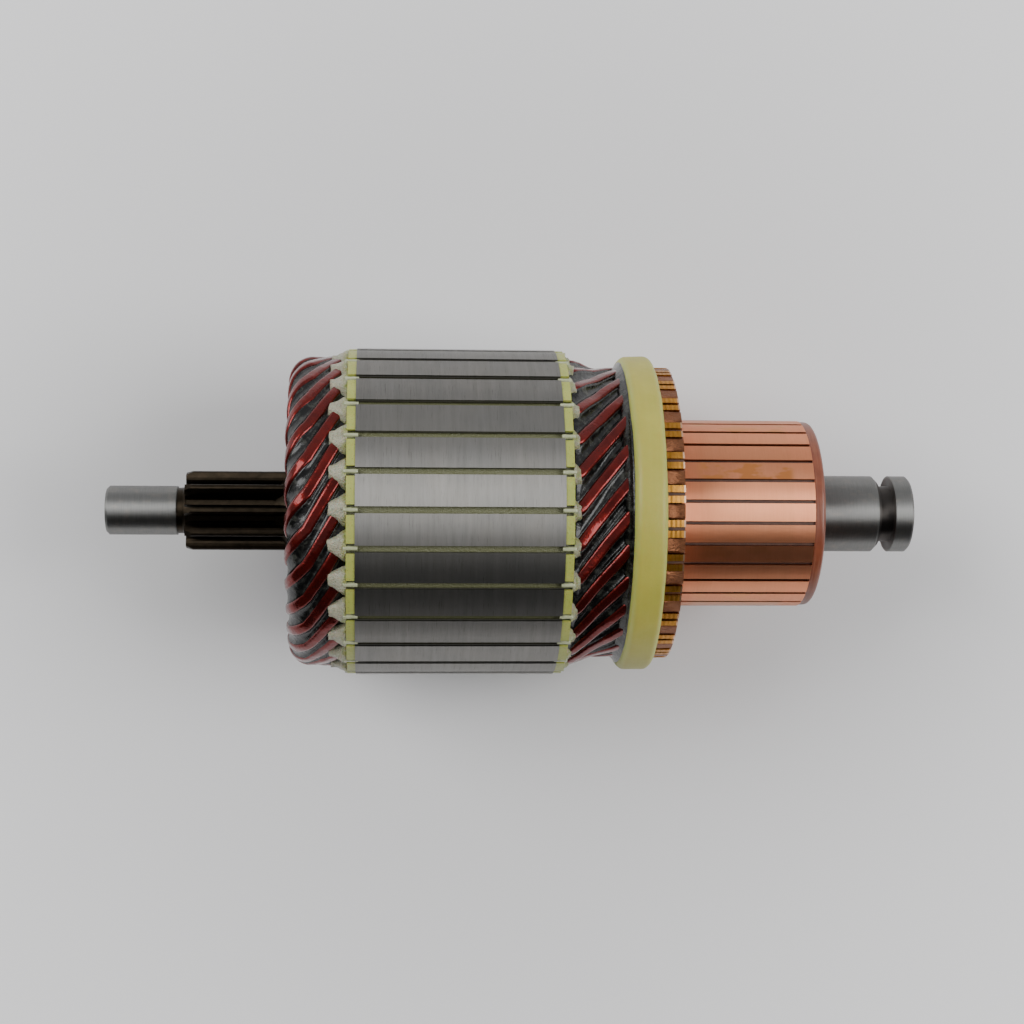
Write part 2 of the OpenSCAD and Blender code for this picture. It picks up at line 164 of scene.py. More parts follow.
class Paint:
    """A material and the nodes that drive it. Lengths inside it are millimetres."""

    def __init__(self, name, **settings):
        self.material = bpy.data.materials.new(name)
        self.material.use_nodes = True
        self.tree = self.material.node_tree
        self.shader = self.tree.nodes["Principled BSDF"]
        for key, value in settings.items():
            self.shader.inputs[key.replace("_", " ")].default_value = value
        coords = self.add("ShaderNodeTexCoord")
        self.mm = self.vector("MULTIPLY", coords.outputs["Object"], (1000, 1000, 1000))
        split = self.add("ShaderNodeSeparateXYZ")
        self.link(self.mm, split.inputs[0])
        self.x, self.y, self.z = split.outputs
        self.angle = self.math("ARCTAN2", self.y, self.z)
        self.radius = self.math("SQRT", self.math("ADD", self.math("POWER", self.y, 2),
                                                  self.math("POWER", self.z, 2)))

    def add(self, kind, **settings):
        node = self.tree.nodes.new(kind)
        for key, value in settings.items():
            setattr(node, key, value)
        return node

    def link(self, source, target):
        self.tree.links.new(source, target)

    def feed(self, value, socket):
        """Link an output to a socket, or write a constant into it."""
        if isinstance(value, bpy.types.NodeSocket):
            self.link(value, socket)
        else:
            socket.default_value = value

    def math(self, operation, a, b=0.0, clamp=False):
        node = self.add("ShaderNodeMath", operation=operation, use_clamp=clamp)
        self.feed(a, node.inputs[0])
        self.feed(b, node.inputs[1])
        return node.outputs[0]

    def vector(self, operation, a, b):
        node = self.add("ShaderNodeVectorMath", operation=operation)
        self.feed(a, node.inputs[0])
        self.feed(b, node.inputs[1])
        return node.outputs[0]

    def step(self, value, low, high):
        """0 below low, 1 above high and smooth between them; high may be the lower one."""
        node = self.add("ShaderNodeMapRange", interpolation_type="SMOOTHSTEP")
        self.feed(value, node.inputs["Value"])
        flip = low > high
        node.inputs["From Min"].default_value = min(low, high)
        node.inputs["From Max"].default_value = max(low, high)
        node.inputs["To Min"].default_value = 1.0 if flip else 0.0
        node.inputs["To Max"].default_value = 0.0 if flip else 1.0
        return node.outputs["Result"]

    def noise(self, scale, stretch=(1, 1, 1), detail=3.0, roughness=0.55, shift=(0, 0, 0)):
        """Noise from 0 to 1, with about `scale` blotches a millimetre."""
        moved = self.vector("ADD", self.vector("MULTIPLY", self.mm, stretch), shift)
        node = self.add("ShaderNodeTexNoise")
        self.link(moved, node.inputs["Vector"])
        node.inputs["Scale"].default_value = scale
        node.inputs["Detail"].default_value = detail
        node.inputs["Roughness"].default_value = roughness
        return node.outputs["Fac"]

    def speckle(self, scale, stretch=(1, 1, 1)):
        """Distance to the nearest of scattered points, for pits and grains."""
        node = self.add("ShaderNodeTexVoronoi")
        self.link(self.vector("MULTIPLY", self.mm, stretch), node.inputs["Vector"])
        node.inputs["Scale"].default_value = scale
        return node.outputs["Distance"]

    def cell(self, value):
        """A random number for each whole part of a value."""
        node = self.add("ShaderNodeTexWhiteNoise", noise_dimensions="1D")
        self.feed(self.math("FLOOR", value), node.inputs["W"])
        return node.outputs["Value"]

    def colour(self, amount, a, b, blend="MIX"):
        node = self.add("ShaderNodeMix", data_type="RGBA", blend_type=blend)
        self.feed(amount, node.inputs[0])
        self.feed(a if isinstance(a, bpy.types.NodeSocket) else (*a, 1.0), node.inputs[6])
        self.feed(b if isinstance(b, bpy.types.NodeSocket) else (*b, 1.0), node.inputs[7])
        return node.outputs[2]

    def mixed(self, amount, a, b):
        """A number between a and b."""
        node = self.add("ShaderNodeMix", data_type="FLOAT")
        self.feed(amount, node.inputs[0])
        self.feed(a, node.inputs[2])
        self.feed(b, node.inputs[3])
        return node.outputs[0]

    def bump(self, height, distance, strength=1.0, under=None):
        """Bump from a height of 0 to 1 that stands for `distance` millimetres."""
        node = self.add("ShaderNodeBump")
        node.inputs["Strength"].default_value = strength
        node.inputs["Distance"].default_value = distance * MM
        self.feed(height, node.inputs["Height"])
        if under is not None:
            self.link(under, node.inputs["Normal"])
        return node.outputs[0]

    def turned(self):
        """Grooves round the shaft, which stretch every highlight along it."""
        tangent = self.add("ShaderNodeTangent", direction_type="RADIAL", axis="X")
        self.link(tangent.outputs[0], self.shader.inputs["Tangent"])
        self.set(Anisotropic=0.9, Anisotropic_Rotation=0.25)

    def set(self, **sockets):
        for key, value in sockets.items():
            self.feed(value, self.shader.inputs[key.replace("_", " ")])
        return self


def core_steel():
    """Turned edges of the laminations: bright steel with fine lines round the core, and painted shade darkening
    the slots between the teeth.
    """
    p = Paint("core_steel", Metallic=1.0)
    lines = p.noise(9.0, stretch=(1, 0.03, 0.03), detail=4.0, roughness=0.7)
    streaks = p.noise(1.3, stretch=(1, 0.05, 0.05), detail=3.0, shift=(31, 0, 0))
    blotch = p.noise(0.16, detail=3.0, shift=(0, 7, 3))
    tooth = p.cell(p.math("ADD", p.math("DIVIDE", p.angle, PITCH), 100.0))
    grey = p.colour(streaks, (0.17, 0.17, 0.165), (0.29, 0.29, 0.28))
    grey = p.colour(p.step(lines, 0.58, 0.72), grey, (0.08, 0.08, 0.075))
    grey = p.colour(p.math("MULTIPLY", blotch, 0.35), grey, (0.42, 0.38, 0.33))
    grey = p.colour(p.math("MULTIPLY", tooth, 0.16), grey, (0.40, 0.39, 0.36))
    # painted shade: below the tooth tips, in the slots, the steel is painted near black and made less metallic to
    # stand for the shade there
    inside = p.step(p.radius, CORE_R / MM - 0.25, CORE_R / MM - 0.6)
    base = p.colour(inside, grey, (0.035, 0.034, 0.02))
    rough = p.mixed(lines, 0.52, 0.66)
    p.turned()
    p.set(Base_Color=base, Roughness=rough, Metallic=p.mixed(inside, 1.0, 0.1))
    p.set(Normal=p.bump(lines, 0.012, 0.8, under=p.bump(blotch, 0.05, 0.3)))
    return p.material


def fibre():
    """Vulcanised fibre soaked in resin: yellow-green, mottled, a little glossy."""
    p = Paint("fibre", IOR=1.5)
    grain = p.noise(2.2, detail=5.0, roughness=0.65)
    cloud = p.noise(0.35, detail=2.0, shift=(5, 0, 0))
    base = p.colour(cloud, (0.30, 0.34, 0.06), (0.42, 0.43, 0.12))
    base = p.colour(p.step(grain, 0.55, 0.75), base, (0.22, 0.26, 0.03))
    base = p.colour(p.step(p.speckle(1.7), 0.16, 0.05), base, (0.12, 0.13, 0.02))
    p.set(Base_Color=base, Roughness=p.mixed(grain, 0.28, 0.5), Subsurface_Weight=0.15,
          Subsurface_Scale=0.0006)
    p.set(Normal=p.bump(grain, 0.12, 0.7))
    return p.material


def paper():
    """Slot paper: pale and frayed outside the rings, olive and resin-soaked in the slots."""
    p = Paint("slot_paper", IOR=1.5)
    fibres = p.noise(3.2, stretch=(0.5, 1, 1), detail=5.0, roughness=0.7)
    grains = p.speckle(3.0)
    cloud = p.noise(0.6, detail=2.0)
    pale = p.colour(fibres, (0.22, 0.20, 0.11), (0.66, 0.62, 0.46))
    pale = p.colour(p.step(cloud, 0.5, 0.72), pale, (0.40, 0.42, 0.17))
    pale = p.colour(p.step(grains, 0.13, 0.03), pale, (0.85, 0.82, 0.72))
    outside = p.math("MAXIMUM", p.step(p.x, RING_X0 / MM + 0.05, RING_X0 / MM - 0.1),
                     p.step(p.x, RING_X1 / MM - 0.05, RING_X1 / MM + 0.1))
    slot = p.colour(fibres, (0.10, 0.105, 0.045), (0.19, 0.195, 0.10))
    p.set(Base_Color=p.colour(outside, slot, pale), Roughness=p.mixed(outside, 0.35, 0.7))
    p.set(Normal=p.bump(fibres, 0.25, 0.8, under=p.bump(grains, 0.15, 0.5)))
    return p.material


def crumpled_paper():
    """Slot paper torn and crumpled at its edge, glittering with dried resin, with painted shade in its deepest
    creases.
    """
    p = Paint("crumpled_paper", IOR=1.5, Coat_Weight=0.3, Coat_Roughness=0.25)
    fibres = p.noise(3.0, detail=5.0, roughness=0.7)
    grains = p.speckle(3.4)
    cloud = p.noise(0.7, detail=3.0)
    base = p.colour(fibres, (0.17, 0.16, 0.09), (0.62, 0.60, 0.45))
    ring = p.math("MAXIMUM", p.step(p.x, RING_X0 / MM - 1.3, RING_X0 / MM - 0.1), 0.0)
    ring = p.math("MULTIPLY", ring, p.step(p.x, RING_X1 / MM + 2.0, RING_X1 / MM))
    base = p.colour(p.math("MULTIPLY", ring, p.step(cloud, 0.35, 0.65)), base, (0.30, 0.33, 0.08))
    base = p.colour(p.step(grains, 0.16, 0.04), base, (0.84, 0.82, 0.74))
    # painted shade: near black where the fibre bumps are lowest, for the shade in the creases
    base = p.colour(p.step(fibres, 0.40, 0.28), base, (0.05, 0.045, 0.03))
    p.set(Base_Color=base, Roughness=p.mixed(fibres, 0.35, 0.7), Subsurface_Weight=0.2,
          Subsurface_Scale=0.0005)
    p.set(Normal=p.bump(fibres, 0.35, 0.9, under=p.bump(grains, 0.3, 0.7)))
    return p.material


def mouth_resin():
    """Pale glossy strip of resin-soaked paper across the end rings."""
    p = Paint("mouth_resin", IOR=1.5, Coat_Weight=0.8, Coat_Roughness=0.12)
    cloud = p.noise(1.2, detail=3.0)
    base = p.colour(cloud, (0.24, 0.27, 0.12), (0.52, 0.54, 0.36))
    p.set(Base_Color=base, Roughness=0.35)
    p.set(Normal=p.bump(cloud, 0.15, 0.6))
    return p.material


def enamel():
    """Dark red enamel, clear enough to show the copper bar's shine through it."""
    p = Paint("enamel", IOR=1.4, Coat_Weight=0.6, Coat_Roughness=0.05, Coat_IOR=1.4)
    runs = p.noise(0.45, detail=3.0)
    fine = p.noise(3.0, detail=3.0, shift=(2, 0, 0))
    red = p.colour(runs, (0.045, 0.0015, 0.001), (0.20, 0.010, 0.006))
    red = p.colour(p.step(fine, 0.60, 0.8), red, (0.02, 0.005, 0.004))
    p.set(Base_Color=red, Roughness=p.mixed(runs, 0.18, 0.36), Metallic=0.85)
    p.set(Normal=p.bump(runs, 0.25, 0.5, under=p.bump(fine, 0.03, 0.4)))
    p.link(p.bump(runs, 0.2, 0.5), p.shader.inputs["Coat Normal"])
    return p.material


def bar_copper():
    """Bare, heat-stained copper of the bar ends in the risers."""
    p = Paint("bar_copper", Metallic=0.9)
    marks = p.noise(2.2, stretch=(0.6, 1, 1), detail=4.0, roughness=0.65)
    cloud = p.noise(0.7, detail=3.0, shift=(9, 4, 0))
    base = p.colour(cloud, (0.13, 0.045, 0.02), (0.36, 0.15, 0.07))
    base = p.colour(p.step(marks, 0.55, 0.8), base, (0.05, 0.02, 0.012))
    p.set(Base_Color=base, Roughness=p.mixed(marks, 0.25, 0.5))
    p.set(Normal=p.bump(marks, 0.25, 0.9))
    return p.material


def resin():
    """Impregnating resin between the bars: glassy and a little grey-green, and kept near black as painted shade
    for the dark gaps between the bars.
    """
    p = Paint("resin", IOR=1.4, Coat_Weight=0.15, Coat_Roughness=0.08)
    cloud = p.noise(0.8, detail=3.0)
    # partly real resin, partly painted shade: the near-black colour stands for the shade in the gaps between the
    # bars
    base = p.colour(p.step(cloud, 0.45, 0.75), (0.002, 0.002, 0.002), (0.035, 0.036, 0.030))
    p.set(Base_Color=base, Roughness=p.mixed(cloud, 0.16, 0.35))
    p.set(Normal=p.bump(cloud, 0.3, 0.5))
    return p.material


def copper():
    """Commutator bars: turned copper, stained by varnish, with ridged risers, and painted shade in the gaps
    between the bars.
    """
    p = Paint("copper", Metallic=1.0)
    bar = p.math("ADD", p.math("DIVIDE", p.angle, PITCH), 100.5)
    luck = p.cell(bar)
    lines = p.noise(5.0, stretch=(1, 0.04, 0.04), detail=4.0, roughness=0.65)
    cloud = p.noise(0.22, stretch=(0.7, 1.2, 1.2), detail=3.0, shift=(3, 0, 8))
    fine = p.noise(1.6, detail=4.0)
    bare = p.colour(cloud, (0.88, 0.33, 0.17), (0.92, 0.42, 0.24))
    bare = p.colour(p.math("MULTIPLY", lines, 0.35), bare, (0.62, 0.22, 0.10))
    stain = p.math("MULTIPLY", p.step(cloud, 0.46, 0.56), p.step(luck, 0.35, 0.6))
    ends = p.math("MULTIPLY", p.step(p.x, RISER_X1 / MM + 3.0, RISER_X1 / MM + 6.0),
                  p.step(p.x, TRACK_X1 / MM - 3.2, TRACK_X1 / MM - 4.6))
    stain = p.math("MULTIPLY", stain, ends)
    bare = p.colour(p.math("MULTIPLY", stain, 0.8), bare, (0.60, 0.20, 0.035))
    bare = p.colour(p.math("MULTIPLY", ends, 0.22), bare, (0.66, 0.30, 0.15))
    riser = p.step(p.radius, TRACK_R / MM + 1.0, TRACK_R / MM + 2.2)
    rim = p.step(p.x, RISER_X1 / MM - 0.35, RISER_X1 / MM - 0.2)
    amber = p.colour(fine, (0.42, 0.17, 0.03), (0.70, 0.36, 0.07))
    amber = p.colour(rim, amber, (0.86, 0.56, 0.38))
    base = p.colour(riser, bare, amber)
    # painted shade: copper below the running track, down the gaps between the bars, is painted dark for the shade
    # in them
    inside = p.step(p.radius, TRACK_R / MM - 0.15, TRACK_R / MM - 0.5)
    base = p.colour(inside, base, (0.10, 0.03, 0.012))
    ridges = p.add("ShaderNodeMath", operation="SINE")
    p.link(p.math("MULTIPLY", p.x, math.tau / 0.8), ridges.inputs[0])
    ridge_height = p.math("MULTIPLY", ridges.outputs[0], riser)
    rough = p.mixed(lines, 0.46, 0.58)
    rough = p.mixed(stain, rough, 0.3)
    p.turned()
    p.set(Base_Color=base, Roughness=rough)
    normal = p.bump(ridge_height, 0.06, 1.0)
    normal = p.bump(lines, 0.01, 0.7, under=normal)
    p.set(Normal=p.bump(cloud, 0.06, 0.5, under=normal))
    return p.material


def mica():
    """Undercut mica: dark, dusty with copper and varnish."""
    p = Paint("mica", IOR=1.5)
    dust = p.noise(2.5, stretch=(0.4, 1, 1), detail=4.0)
    base = p.colour(dust, (0.035, 0.022, 0.018), (0.15, 0.075, 0.05))
    p.set(Base_Color=base, Roughness=0.6)
    p.set(Normal=p.bump(dust, 0.1, 0.8))
    return p.material


def phenolic():
    """Moulded phenolic, turned at its rim: red-brown, half glossy."""
    p = Paint("phenolic", IOR=1.55)
    lines = p.noise(3.5, stretch=(1, 0.04, 0.04), detail=3.0)
    cloud = p.noise(0.5, detail=3.0)
    base = p.colour(cloud, (0.13, 0.030, 0.014), (0.24, 0.065, 0.028))
    base = p.colour(p.math("MULTIPLY", p.step(lines, 0.5, 0.7), 0.4), base, (0.30, 0.13, 0.07))
    p.set(Base_Color=base, Roughness=p.mixed(lines, 0.28, 0.45))
    p.set(Normal=p.bump(lines, 0.03, 0.7))
    return p.material


def epoxy():
    """Epoxy over the glass band: waxy, yellow-green, paler towards its edges."""
    p = Paint("epoxy", IOR=1.5)
    cloud = p.noise(0.22, detail=3.0, roughness=0.5)
    fine = p.noise(1.8, detail=4.0)
    threads = p.noise(1.2, stretch=(1.5, 0.05, 0.05), detail=2.0)
    base = p.colour(cloud, (0.33, 0.30, 0.04), (0.45, 0.41, 0.075))
    base = p.colour(p.math("MULTIPLY", threads, 0.25), base, (0.50, 0.46, 0.10))
    edges = p.math("MAXIMUM", p.step(p.x, BAND_X0 / MM + 1.2, BAND_X0 / MM + 0.2),
                   p.step(p.x, BAND_X1 / MM - 1.2, BAND_X1 / MM - 0.2))
    base = p.colour(p.math("MULTIPLY", edges, 0.7), base, (0.42, 0.46, 0.12))
    pits = p.step(p.speckle(0.9), 0.08, 0.02)
    base = p.colour(p.math("MULTIPLY", pits, 0.5), base, (0.22, 0.19, 0.05))
    p.set(Base_Color=base, Roughness=p.mixed(fine, 0.38, 0.55), Subsurface_Weight=0.25,
          Subsurface_Scale=0.0012)
    p.set(Normal=p.bump(fine, 0.05, 0.5, under=p.bump(cloud, 0.5, 0.3)))
    return p.material


def shaft_steel():
    """One steel shaft: ground journals, an oiled black gear and a dark neck."""
    p = Paint("shaft_steel", Metallic=1.0)
    lines = p.noise(6.0, stretch=(1, 0.05, 0.05), detail=4.0, roughness=0.65)
    smear = p.noise(0.9, stretch=(0.7, 1, 1), detail=4.0)
    ground = p.colour(lines, (0.16, 0.16, 0.155), (0.29, 0.29, 0.28))
    ground = p.colour(p.math("MULTIPLY", p.step(smear, 0.5, 0.7), 0.4), ground, (0.30, 0.28, 0.25))
    oiled = p.colour(smear, (0.012, 0.010, 0.007), (0.06, 0.045, 0.03))
    dark = p.math("MULTIPLY", p.step(p.x, 6.3, 6.6), p.step(p.x, CORE_X0 / MM, CORE_X0 / MM - 1))
    groove = p.math("MULTIPLY", p.step(p.radius, 7.0, 6.6),
                    p.step(p.x, COLLAR_X1 / MM + 12.0, COLLAR_X1 / MM + 12.6))
    base = p.colour(dark, ground, oiled)
    base = p.colour(p.math("MULTIPLY", groove, 0.8), base, (0.05, 0.04, 0.035))
    p.turned()
    p.set(Base_Color=base, Roughness=p.mixed(dark, p.mixed(lines, 0.46, 0.58), 0.45))
    p.set(Normal=p.bump(lines, 0.008, 0.7, under=p.bump(smear, 0.03, 0.3)))
    return p.material


# ---------------------------------------------------------------- winding

def rounded_corner(a, b, c, r, steps):
    """Points that round the corner at b between a and c on the unrolled winding surface."""
    u, v = (a - b).normalized(), (c - b).normalized()
    half = u.angle(v) / 2
    centre = b + (u + v).normalized() * r / math.sin(half)
    start = b + u * r / math.tan(half) - centre
    turn = (math.pi - 2 * half) * (1 if u.cross(v) < 0 else -1)
    points = []
    for i in range(steps + 1):
        t = turn * i / steps
        points.append(centre + Vector((start.x * math.cos(t) - start.y * math.sin(t),
                                       start.x * math.sin(t) + start.y * math.cos(t))))
    return points


def spaced(a, b, steps):
    """Points strictly between a and b."""
    return [a + (b - a) * (i / steps) for i in range(1, steps)]


def riser_leg(step, r, slot_r):
    """Commutator side of a leg from its riser to the core, as (x, r, angle, width, tilt)."""
    away = r * step * PITCH
    slant = RISER_X0 - (BAND_X1 - BAND_X0) - CORE_X1 - EXIT_LEN
    tangent = LEG_BEND_R * math.tan(math.atan2(abs(away), slant) / 2)
    ends = [Vector((RISER_X1, away)), Vector((BAND_X0 + BAND_LEAD, away)),
            Vector((CORE_X1 + EXIT_LEN + tangent, 0)), Vector((CORE_X0, 0))]
    top = rounded_corner(*ends[:3], LEG_BEND_R, 6)
    foot = rounded_corner(*ends[1:], LEG_BEND_R, 6)
    line = [ends[0], Vector((RISER_X0 - UPSET_LEN / 4, away)), Vector((RISER_X0 - UPSET_LEN / 2, away)),
            Vector((RISER_X0 - UPSET_LEN, away))]
    line += top + spaced(top[-1], foot[0], 8) + foot
    stations = []
    for point in line:
        rise = ease((point.x - CORE_X1 - EXIT_LEN) / DIP_LEN)
        width = mix(BAR_W, BAR_END_W, ease((point.x - RISER_X0 + UPSET_LEN) / (0.75 * UPSET_LEN)))
        stations.append((point.x, mix(slot_r, r, rise), point.y / r, width, 0.0))
    return stations


# Nose of a hairpin: a U bend from the outer to the inner layer, while the bar keeps turning round
# the shaft at a steady rate
NOSE_OUTER_R = OUTER_R - NOSE_SIDE_DIP
NOSE_BEND_R = (BAR_H + 0.85 * MM) / 2
NOSE_MEAN_R = NOSE_OUTER_R - NOSE_BEND_R
NOSE_CENTRE_X = NOSE_X + BAR_H / 2 + NOSE_BEND_R
EXIT_X = CORE_X0 - EXIT_LEN


def nose_run(steps_foot=6, steps_leg=7, steps_bend=12):
    """Nose side of a hairpin from the outer slot to the inner one, as riser_leg gives it."""
    half = NOSE_STEP * PITCH * NOSE_MEAN_R / 2
    bend = math.pi / 2 * NOSE_BEND_R
    run = EXIT_X - NOSE_CENTRE_X
    rate = half / (run + bend)
    for _ in range(6):
        tangent = LEG_BEND_R * math.tan(math.atan(rate) / 2)
        rate = half / (run - tangent + bend)
    corner = Vector((EXIT_X - tangent, 0))
    centre = Vector((NOSE_CENTRE_X, -rate * (corner.x - NOSE_CENTRE_X)))
    foot = rounded_corner(Vector((CORE_X1, 0)), corner, centre, LEG_BEND_R, steps_foot)
    stations = []
    for point in foot + spaced(foot[-1], centre, steps_leg):
        r = mix(OUTER_R, NOSE_OUTER_R, ease((EXIT_X - point.x) / DIP_LEN))
        stations.append((point.x, r, point.y / NOSE_MEAN_R, BAR_W, 0.0))
    for i in range(steps_bend + 1):
        turn = math.pi / 2 * i / steps_bend
        arc = centre.y - rate * NOSE_BEND_R * turn
        stations.append((NOSE_CENTRE_X - NOSE_BEND_R * math.sin(turn),
                         NOSE_MEAN_R + NOSE_BEND_R * math.cos(turn), arc / NOSE_MEAN_R, BAR_W, turn))
    inner = NOSE_OUTER_R - 2 * NOSE_BEND_R
    for x, r, angle, width, tilt in reversed(stations[:-1]):
        drop = NOSE_MEAN_R - (r - NOSE_MEAN_R)
        drop = mix(drop, INNER_R, ease((x - NOSE_CENTRE_X) / (EXIT_X - NOSE_CENTRE_X)))
        stations.append((x, drop, -NOSE_STEP * PITCH - angle, width, math.pi - tilt))
    return stations


def hairpin_stations():
    """The whole bar from its outer riser end to its inner one."""
    outer = riser_leg(LEG_STEP, RISER_OUTER_R, OUTER_R)
    inner = riser_leg(-LEG_STEP, RISER_INNER_R, INNER_R)
    tail = [(x, r, angle - NOSE_STEP * PITCH, width, math.pi) for x, r, angle, width, _ in reversed(inner)]
    return outer + nose_run() + tail


def bar_section(width, height, edge_r, steps=3):
    """Rounded rectangle as (sideways, upwards) pairs."""
    points = []
    for k, (sx, sy) in enumerate(((1, 1), (-1, 1), (-1, -1), (1, -1))):
        for i in range(steps + 1):
            a = math.pi / 2 * (k + i / steps)
            points.append((sx * (width / 2 - edge_r) + edge_r * math.cos(a),
                           sy * (height / 2 - edge_r) + edge_r * math.sin(a)))
    return points


def bar_rings(stations, turn, wobble):
    """Rings of points along a bar. Its height axis stands out from the shaft, and tips over with
    the U bend at the nose."""
    centres = []
    for i, (x, r, angle, width, tilt) in enumerate(stations):
        centres.append(place(x, r, angle + turn))
    rings = []
    for i, (x, r, angle, width, tilt) in enumerate(stations):
        before, after = centres[max(0, i - 1)], centres[min(len(centres) - 1, i + 1)]
        heading = (after - before).normalized()
        out = place(0, 1, angle + turn)
        up = out * math.cos(tilt) + Vector((-1, 0, 0)) * math.sin(tilt)
        side = heading.cross(up).normalized()
        up = side.cross(heading).normalized()
        shake = noise.noise_vector(centres[i] * 220 + Vector((wobble, 0, 0))) * 0.12 * MM
        if x > RING_X0 and x < RING_X1:
            shake *= 0
        rings.append([centres[i] + shake + side * a + up * b
                      for a, b in bar_section(width, BAR_H, BAR_EDGE_R)])
    return rings


def make_hairpins(material, end_material):
    stations = hairpin_stations()
    for number in range(1, SLOTS + 1):
        node = f"hairpin_{number:02d}"
        rings = bar_rings(stations, (number - 1) * PITCH, number * 7.3)
        points, faces = sweep(rings)
        piece = new_mesh(f"bar_{number:02d}", points, faces, material)
        piece.data.materials.append(end_material)
        for face in piece.data.polygons:
            if face.center.x > RISER_X0 - 0.1 * MM:
                face.material_index = 1
        smoother = piece.modifiers.new("normals", "WEIGHTED_NORMAL")
        smoother.keep_sharp = False
        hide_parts(node)


def frame_at(stations, i, turn):
    """Middle of a bar at a station, with its sideways and upward directions."""
    def middle(k):
        x, r, angle = stations[k][:3]
        return place(x, r, angle + turn)

    heading = (middle(min(len(stations) - 1, i + 1)) - middle(max(0, i - 1))).normalized()
    tilt = stations[i][4]
    up = place(0, 1, stations[i][2] + turn) * math.cos(tilt) + Vector((-math.sin(tilt), 0, 0))
    side = heading.cross(up).normalized()
    return middle(i), side, side.cross(heading).normalized()


def make_resin_web(name, stations, number, depths, material, columns=9):
    """Resin that has run into the gap between an outer bar and the next one. It creeps up the sides
    of both bars, and depths gives how far it lies under their tops in the middle of the gap."""
    rings = []
    sink = 0.18 * MM
    for i in range(len(stations)):
        reach = stations[i][3] / 2 - sink
        here, side, up = frame_at(stations, i, (number - 1) * PITCH)
        there, next_side, next_up = frame_at(stations, i, number * PITCH)
        a, b = here + side * reach, there - next_side * reach
        mean_up = (up + next_up).normalized()
        ring = []
        for k in range(columns):
            u = k / (columns - 1)
            point = a.lerp(b, u)
            wave = noise.noise(point * 260) * 0.5 + noise.noise(point * 90 + Vector((number, 0, 0)))
            creep = abs(2 * u - 1) ** 2.6
            depth = mix(depths[i] * (1 + 0.55 * wave), (0.30 + 0.16 * wave) * MM, creep)
            ring.append(point + mean_up * (BAR_H / 2 - depth))
        ring.append(b - mean_up * (BAR_H / 2 - 0.6 * MM))
        ring.append(a - mean_up * (BAR_H / 2 - 0.6 * MM))
        rings.append(ring)
    points, faces = sweep(rings)
    return new_mesh(name, points, faces, material)


def make_resin(material):
    nose = nose_run()
    nose = nose[:len(nose) // 2 + 1]
    riser = [s for s in riser_leg(LEG_STEP, RISER_OUTER_R, OUTER_R) if s[0] < BAND_X0 + 1.2 * MM]
    nose_depths = [mix(0.75, 0.5, ease((EXIT_X - s[0]) / (7 * MM))) * MM for s in nose]
    riser_depths = [mix(0.55, 0.85, math.sin(math.pi * i / (len(riser) - 1))) * MM for i in range(len(riser))]
    for number in range(1, SLOTS + 1):
        make_resin_web(f"nose_resin_{number:02d}", nose, number, nose_depths, material)
        make_resin_web(f"riser_resin_{number:02d}", riser, number, riser_depths, material)


def make_cuff(name, angle, seed, start_x, length, sense, half_w, half_tip, material):
    """Slot paper that stands out of an end ring round both bars: a crumpled funnel, widest at the
    ring. sense is the way it points along the shaft."""
    rings = []
    steps = 9
    around = 40
    for i in range(steps + 1):
        t = i / steps
        half = mix(half_w, half_tip, ease(t)) * (1 - 0.12 * (t > 0.99))
        top = mix(RING_R - 0.2 * MM, OUTER_R + BAR_H / 2 + 0.22 * MM, ease(1.2 * t))
        bottom = mix(INNER_R - BAR_H / 2 - 0.6 * MM, INNER_R - BAR_H / 2 - 0.1 * MM, t)
        lean = -sense * 0.25 * MM * t * t
        ring = []
        for k in range(around):
            a = math.tau * k / around
            # a rounded box from a squared circle
            c, s = math.cos(a), math.sin(a)
            across = math.copysign(abs(c) ** 0.45, c) * half
            r = mix(bottom, top, 0.5 + 0.5 * math.copysign(abs(s) ** 0.45, s))
            if s > 0:
                across *= mix(1.0, 0.62, s * s * (1 - 0.5 * t))
            x = start_x + sense * length * t
            here = place(x, r, angle + (across + lean) / OUTER_R)
            rough = noise.noise_vector(here * 420 + Vector((seed, 0, 0))) * 0.22 * MM
            rough += noise.noise_vector(here * 1300 + Vector((0, seed, 0))) * 0.12 * MM
            rough.x += noise.noise(here * 700 + Vector((0, 0, seed))) * 0.35 * MM * t
            out = place(0, 1, angle)
            if (here + rough).dot(out) > RING_R - 0.05 * MM:
                rough -= out * ((here + rough).dot(out) - RING_R + 0.05 * MM)
            ring.append(here + rough)
        rings.append(ring)
    points, faces = sweep(rings)
    return new_mesh(name, points, faces, material)


def make_mouth_strip(name, angle, seed, x0, x1, material):
    """Resin-soaked paper in a slot mouth, where it crosses an end ring."""
    rings = []
    for i in range(9):
        t = i / 8
        x = mix(x0, x1, t)
        half = (0.42 + 0.12 * noise.noise(Vector((seed, t * 3, 0)))) * MM
        top = RING_R - (0.02 + 0.05 * abs(noise.noise(Vector((t * 4, seed, 1))))) * MM
        ring = []
        for k in range(9):
            u = k / 8 * 2 - 1
            ring.append(place(x, top - 0.45 * MM * u ** 4, angle + half * u / RING_R))
        ring.append(place(x, top - 1.2 * MM, angle + half / RING_R))
        ring.append(place(x, top - 1.2 * MM, angle - half / RING_R))
        rings.append(ring)
    points, faces = sweep(rings)
    return new_mesh(name, points, faces, material)


